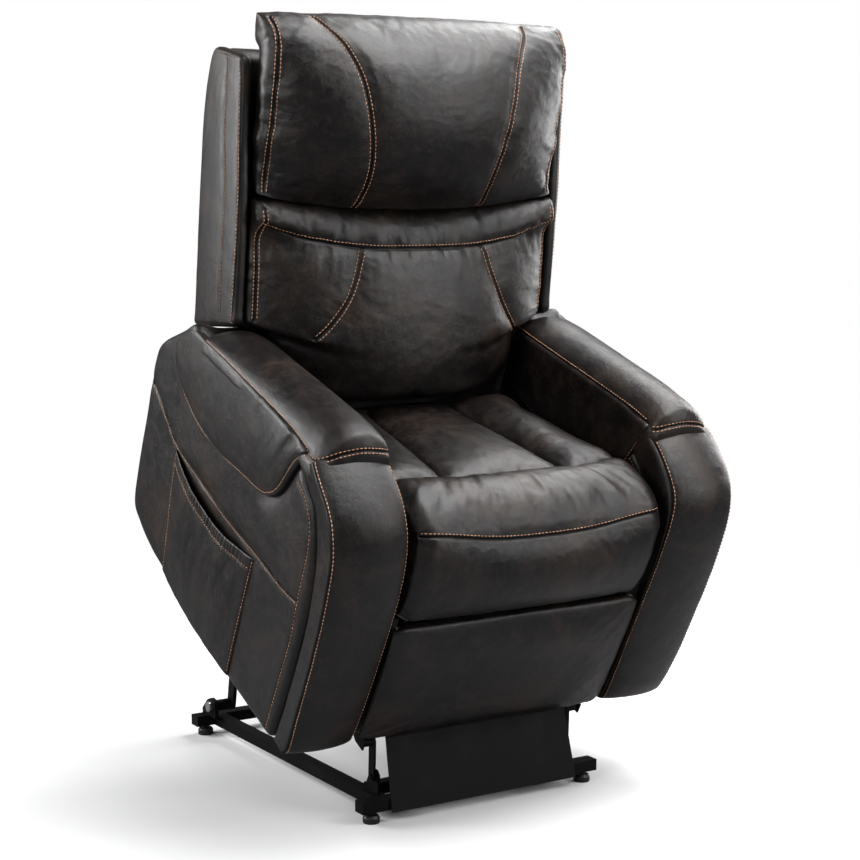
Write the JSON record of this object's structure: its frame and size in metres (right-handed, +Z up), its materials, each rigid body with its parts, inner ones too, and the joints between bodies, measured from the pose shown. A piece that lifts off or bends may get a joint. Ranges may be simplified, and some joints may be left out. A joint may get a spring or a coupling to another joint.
{
  "type": "lift recliner chair",
  "caption": "Upholstered power lift recliner on a steel base, raised and tipped forward by its lift linkage, with reclining back, tilting headrest, flip-out footrest and keyed hand control.",
  "frame": {"origin": "on the floor on the chair's centre plane, at the middle of the raised chair's footprint, 0.241 m behind the centres of the front feet", "axes": "+Z up, -Y towards the front of the chair, +X towards the sitter's left; the rest pose is the raised, forward-tipped pose"},
  "size_m": [0.88, 0.9234, 1.4584],
  "materials": {
    "leather": "semi-gloss",
    "frame_steel": "satin",
    "zinc_steel": "satin",
    "black_plastic": "matte",
    "key_plastic": "matte",
    "lining_cloth": "matte",
    "board_wood": "matte",
    "stitching": "matte"
  },
  "bodies": {
    "base": {"base_front_tube": "frame_steel", "base_rear_tube": "frame_steel", "base_rail_l": "frame_steel", "base_rail_r": "frame_steel", "base_kick_plate": "frame_steel", "lift_motor_cross_tube": "frame_steel", "rear_bracket_l": "frame_steel", "rear_bracket_r": "frame_steel", "rear_pivot_bolt_l": "zinc_steel", "rear_pivot_bolt_r": "zinc_steel", "front_bracket_l": "frame_steel", "front_bracket_r": "frame_steel"},
    "foot_fl": {"levelling_foot_fl": "black_plastic"},
    "foot_fr": {"levelling_foot_fr": "black_plastic"},
    "foot_rl": {"levelling_foot_rl": "black_plastic"},
    "foot_rr": {"levelling_foot_rr": "black_plastic"},
    "lift_arms": {"lift_arm_l": "frame_steel", "lift_arm_r": "frame_steel", "lift_arm_cross_tube": "frame_steel"},
    "front_links": {"front_link_l": "frame_steel", "front_link_r": "frame_steel"},
    "lift_actuator": {"lift_actuator_motor": "black_plastic"},
    "lift_actuator_ram": {"lift_actuator_rod": "zinc_steel"},
    "seat_body": {"chassis_side_l": "frame_steel", "chassis_side_r": "frame_steel", "chassis_front_tube": "frame_steel", "chassis_rear_tube": "frame_steel", "seat_deck": "lining_cloth", "power_supply": "black_plastic", "seat_cushion": "leather", "seat_front_panel": "leather", "arm_frame_l": "leather", "arm_frame_r": "leather", "arm_pad_l": "leather", "arm_pad_r": "leather", "arm_front_panel_l": "leather", "arm_front_panel_r": "leather", "side_pocket_r": "leather", "rear_panel": "lining_cloth", "hand_control_holster": "leather"},
    "backrest": {"back_shell": "leather", "back_cushion": "leather", "back_hinge_bar": "frame_steel"},
    "headrest": {"headrest_cushion": "leather"},
    "recline_actuator": {"recline_actuator_motor": "black_plastic"},
    "recline_actuator_ram": {"recline_actuator_rod": "zinc_steel"},
    "footrest_drive": {"footrest_drive_link_l": "frame_steel", "footrest_drive_link_r": "frame_steel", "footrest_drive_tube": "frame_steel"},
    "footrest_reach": {"footrest_reach_link_l": "frame_steel", "footrest_reach_link_r": "frame_steel"},
    "ottoman": {"footrest_board": "board_wood", "footrest_pad": "leather"},
    "footrest_actuator": {"footrest_actuator_motor": "black_plastic"},
    "footrest_actuator_ram": {"footrest_actuator_rod": "zinc_steel"},
    "hand_control": {"hand_control_case": "black_plastic"},
    "key_raise": {"button_raise": "key_plastic"},
    "key_lower": {"button_lower": "key_plastic"},
    "key_footrest": {"button_footrest": "key_plastic"},
    "key_recline": {"button_recline": "key_plastic"}
  },
  "joints": [
    {"name": "lift", "type": "hinge", "parent": "base", "child": "lift_arms", "pos_m": [0, 0.4163, 0.066], "axis": [1, 0, 0], "range_deg": [0, 19.57]},
    {"name": "lift_tilt", "type": "hinge", "parent": "lift_arms", "child": "seat_body", "pos_m": [0, -0.06979, 0.24301], "axis": [1, 0, 0], "range_deg": [-49.97, 0]},
    {"name": "front_link_swing", "type": "hinge", "parent": "base", "child": "front_links", "pos_m": [0, -0.2107, 0.075], "axis": [1, 0, 0], "range_deg": [0, 105.45]},
    {"name": "lift_actuator_swing", "type": "hinge", "parent": "base", "child": "lift_actuator", "pos_m": [0, -0.1307, 0.062], "axis": [1, 0, 0], "range_deg": [-15.2, 0]},
    {"name": "lift_actuator_stroke", "type": "slide", "parent": "lift_actuator", "child": "lift_actuator_ram", "axis": [0, 0.8819, 0.4714], "range_m": [-0.06852, 0]},
    {"name": "recline", "type": "hinge", "parent": "seat_body", "child": "backrest", "pos_m": [0, 0.15571, 0.63301], "axis": [-1, 0, 0], "range_deg": [0, 38]},
    {"name": "recline_actuator_swing", "type": "hinge", "parent": "seat_body", "child": "recline_actuator", "pos_m": [0, -0.14006, 0.4253], "axis": [1, 0, 0], "range_deg": [-0.78, 0.4]},
    {"name": "recline_actuator_stroke", "type": "slide", "parent": "recline_actuator", "child": "recline_actuator_ram", "axis": [0, 0.9115, 0.4113], "range_m": [-0.04835, 0]},
    {"name": "headrest_tilt", "type": "hinge", "parent": "backrest", "child": "headrest", "pos_m": [0, -0.00019, 1.10303], "axis": [1, 0, 0], "range_deg": [0, 25]},
    {"name": "footrest", "type": "hinge", "parent": "seat_body", "child": "footrest_drive", "pos_m": [0, -0.09142, 0.42105], "axis": [-1, 0, 0], "range_deg": [0, 41.16]},
    {"name": "footrest_reach", "type": "hinge", "parent": "footrest_drive", "child": "footrest_reach", "pos_m": [0, -0.12679, 0.22431], "axis": [-1, 0, 0], "range_deg": [-82.16, 0]},
    {"name": "footrest_flip", "type": "hinge", "parent": "footrest_reach", "child": "ottoman", "pos_m": [0, -0.32926, 0.35301], "axis": [-1, 0, 0], "range_deg": [0, 125]},
    {"name": "footrest_actuator_swing", "type": "hinge", "parent": "seat_body", "child": "footrest_actuator", "pos_m": [0, 0.11277, 0.52739], "axis": [1, 0, 0], "range_deg": [-9.91, 0.4]},
    {"name": "footrest_actuator_stroke", "type": "slide", "parent": "footrest_actuator", "child": "footrest_actuator_ram", "axis": [0, -0.7304, -0.6831], "range_m": [0, 0.03258]},
    {"name": "levelling_fl", "type": "slide", "parent": "base", "child": "foot_fl", "axis": [0, 0, 1], "range_m": [-0.01, 0.004]},
    {"name": "levelling_fr", "type": "slide", "parent": "base", "child": "foot_fr", "axis": [0, 0, 1], "range_m": [-0.01, 0.004]},
    {"name": "levelling_rl", "type": "slide", "parent": "base", "child": "foot_rl", "axis": [0, 0, 1], "range_m": [-0.01, 0.004]},
    {"name": "levelling_rr", "type": "slide", "parent": "base", "child": "foot_rr", "axis": [0, 0, 1], "range_m": [-0.01, 0.004]},
    {"name": "hand_control_lift_out", "type": "slide", "parent": "seat_body", "child": "hand_control", "axis": [0, -0.5, 0.866], "range_m": [0, 0.1]},
    {"name": "press_raise", "type": "slide", "parent": "hand_control", "child": "key_raise", "axis": [-1, 0, 0], "range_m": [0, 0.0015], "stiffness_N_per_m": 900},
    {"name": "press_lower", "type": "slide", "parent": "hand_control", "child": "key_lower", "axis": [-1, 0, 0], "range_m": [0, 0.0015], "stiffness_N_per_m": 900},
    {"name": "press_footrest", "type": "slide", "parent": "hand_control", "child": "key_footrest", "axis": [-1, 0, 0], "range_m": [0, 0.0015], "stiffness_N_per_m": 900},
    {"name": "press_recline", "type": "slide", "parent": "hand_control", "child": "key_recline", "axis": [-1, 0, 0], "range_m": [0, 0.0015], "stiffness_N_per_m": 900}
  ],
  "couplings": [
    {"joint": "lift_tilt", "follows": "lift", "ratio": -2.5333},
    {"joint": "front_link_swing", "follows": "lift", "ratio": 5.3585},
    {"joint": "lift_actuator_swing", "follows": "lift", "ratio": -0.75647},
    {"joint": "lift_actuator_stroke", "follows": "lift", "m_per_rad": -0.19772},
    {"joint": "recline_actuator_swing", "follows": "recline", "ratio": -0.0099},
    {"joint": "recline_actuator_stroke", "follows": "recline", "m_per_rad": -0.071386},
    {"joint": "footrest_reach", "follows": "footrest", "ratio": -1.9814},
    {"joint": "footrest_flip", "follows": "footrest", "ratio": 3.0222},
    {"joint": "footrest_actuator_swing", "follows": "footrest", "ratio": -0.23096},
    {"joint": "footrest_actuator_stroke", "follows": "footrest", "m_per_rad": 0.04396}
  ]
}
